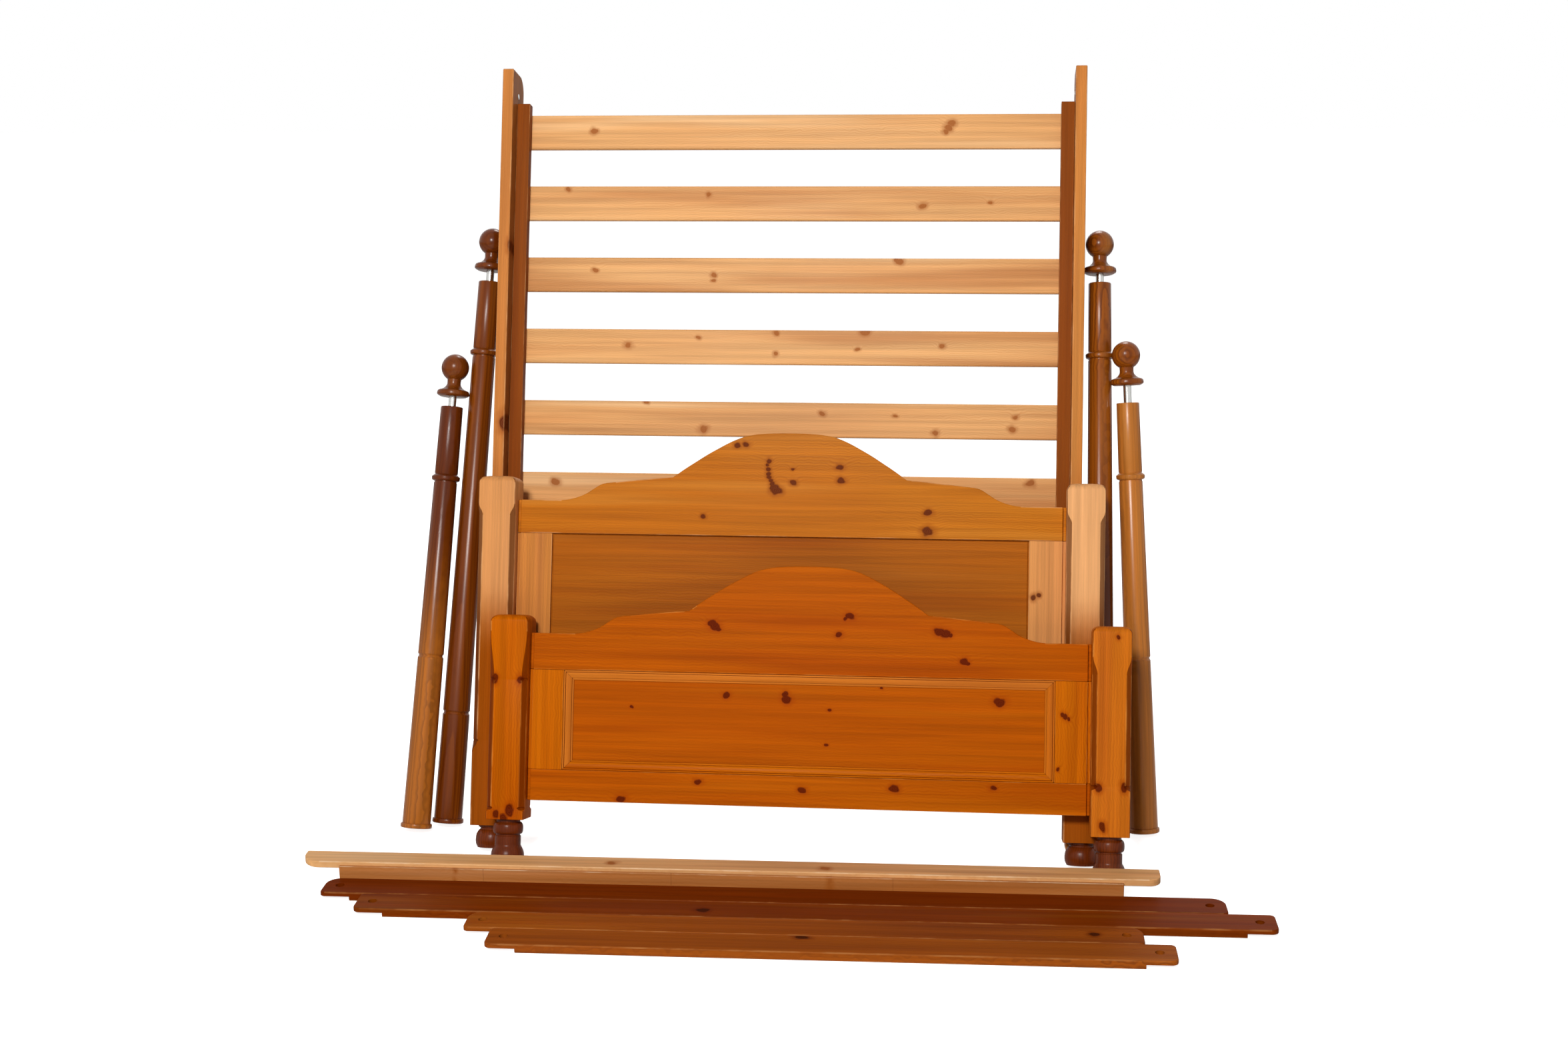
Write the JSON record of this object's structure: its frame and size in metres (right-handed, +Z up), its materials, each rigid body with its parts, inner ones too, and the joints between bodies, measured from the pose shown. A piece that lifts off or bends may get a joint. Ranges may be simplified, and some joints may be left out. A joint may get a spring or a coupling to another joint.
{
  "type": "four-poster bed",
  "caption": "Pine four-poster bed taken apart and stacked as it is stored: slatted base and boards upright, turned upper posts leaning, canopy rails in front.",
  "frame": {"origin": "middle of the bounding box, at the height of the floor", "axes": "+X to the right of the stack as seen from the front, +Y towards its back, +Z up"},
  "size_m": [2.2734, 1.283, 1.8723],
  "materials": {
    "palePine": "satin varnish",
    "honeyPine": "gloss varnish",
    "amberPine": "gloss varnish",
    "darkPine": "satin varnish",
    "walnutStain": "gloss varnish",
    "darkFoot": "gloss varnish",
    "steel": "bright"
  },
  "bodies": {
    "bed_kit": {"side_rail_left": "honeyPine", "ledger_left": "honeyPine", "barrel_nut_left_lower": "steel", "barrel_nut_left_upper": "steel", "side_rail_right": "honeyPine", "ledger_right": "honeyPine", "barrel_nut_right_lower": "steel", "barrel_nut_right_upper": "steel", "slat_01": "palePine", "slat_02": "palePine", "slat_03": "palePine", "slat_04": "palePine", "slat_05": "palePine", "slat_06": "palePine", "slat_07": "palePine", "slat_08": "palePine", "slat_09": "palePine", "slat_10": "palePine", "head_post_left": "honeyPine", "head_foot_left": "darkFoot", "head_stile_left": "honeyPine", "head_post_right": "honeyPine", "head_foot_right": "darkFoot", "head_stile_right": "honeyPine", "head_top_rail": "honeyPine", "head_bottom_rail": "honeyPine", "head_panel": "honeyPine", "foot_post_left": "amberPine", "foot_foot_left": "darkFoot", "foot_stile_left": "amberPine", "foot_post_right": "amberPine", "foot_foot_right": "darkFoot", "foot_stile_right": "amberPine", "foot_top_rail": "amberPine", "foot_bottom_rail": "amberPine", "foot_panel": "amberPine", "foot_moulding_top": "amberPine", "foot_moulding_bottom": "amberPine", "foot_moulding_left": "amberPine", "foot_moulding_right": "amberPine", "upper_post_back_left": "walnutStain", "upper_post_back_right": "walnutStain", "upper_post_front_left": "walnutStain", "upper_post_front_right": "walnutStain", "canopy_rail_long_back": "darkPine", "canopy_rail_long_front": "darkPine", "canopy_rail_short_back": "darkPine", "canopy_rail_short_front": "darkPine", "centre_rail_batten": "palePine", "centre_rail": "palePine"},
    "lifting_back_left": {"finial_back_left": "walnutStain", "pin_back_left": "steel"},
    "lifting_back_right": {"finial_back_right": "walnutStain", "pin_back_right": "steel"},
    "lifting_front_left": {"finial_front_left": "walnutStain", "pin_front_left": "steel"},
    "lifting_front_right": {"finial_front_right": "walnutStain", "pin_front_right": "steel"}
  },
  "joints": [
    {"name": "lift_back_left", "type": "slide", "parent": "bed_kit", "child": "lifting_back_left", "axis": [0.0495, 0.2913, 0.9554], "range_m": [0, 0.03]},
    {"name": "lift_back_right", "type": "slide", "parent": "bed_kit", "child": "lifting_back_right", "axis": [-0.0131, 0.292, 0.9563], "range_m": [0, 0.03]},
    {"name": "lift_front_left", "type": "slide", "parent": "bed_kit", "child": "lifting_front_left", "axis": [0.0527, 0.306, 0.9506], "range_m": [0, 0.03]},
    {"name": "lift_front_right", "type": "slide", "parent": "bed_kit", "child": "lifting_front_right", "axis": [-0.0537, 0.2127, 0.9756], "range_m": [0, 0.03]}
  ]
}
